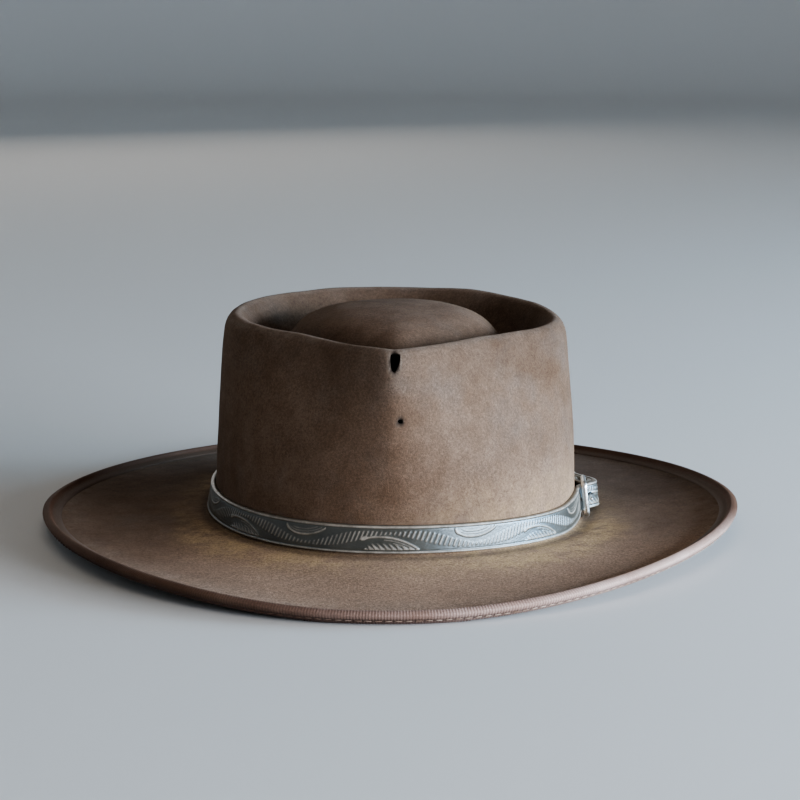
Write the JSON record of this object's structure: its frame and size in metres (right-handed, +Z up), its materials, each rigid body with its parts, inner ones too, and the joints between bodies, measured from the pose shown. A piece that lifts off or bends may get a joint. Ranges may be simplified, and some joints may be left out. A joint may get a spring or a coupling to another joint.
{
  "type": "felt hat",
  "caption": "Wide-brimmed felt hat with a telescope crown pinched to a point in front, a ribbon-bound rolled edge and a buckled leather hatband",
  "frame": {"origin": "on the surface that the hat rests on, under the middle of the brim's outline", "axes": "+Z up, -Y the pinched front of the hat, +X the side with the buckle"},
  "size_m": [0.3288, 0.3642, 0.1051],
  "materials": {
    "felt": "worn brown fur felt, rubbed paler on the rim, with tan dust stains beside the band",
    "ribbon": "ribbed ribbon with one row of stitches",
    "tooled_leather": "dark tooled ground with rubbed grey high places, satin",
    "buckle_metal": "smooth, slightly dulled"
  },
  "bodies": {
    "root": {"felt_body": "felt", "brim_binding": "ribbon", "hatband": "tooled_leather", "buckle_frame": "buckle_metal", "buckle_prong": "buckle_metal"}
  },
  "joints": []
}
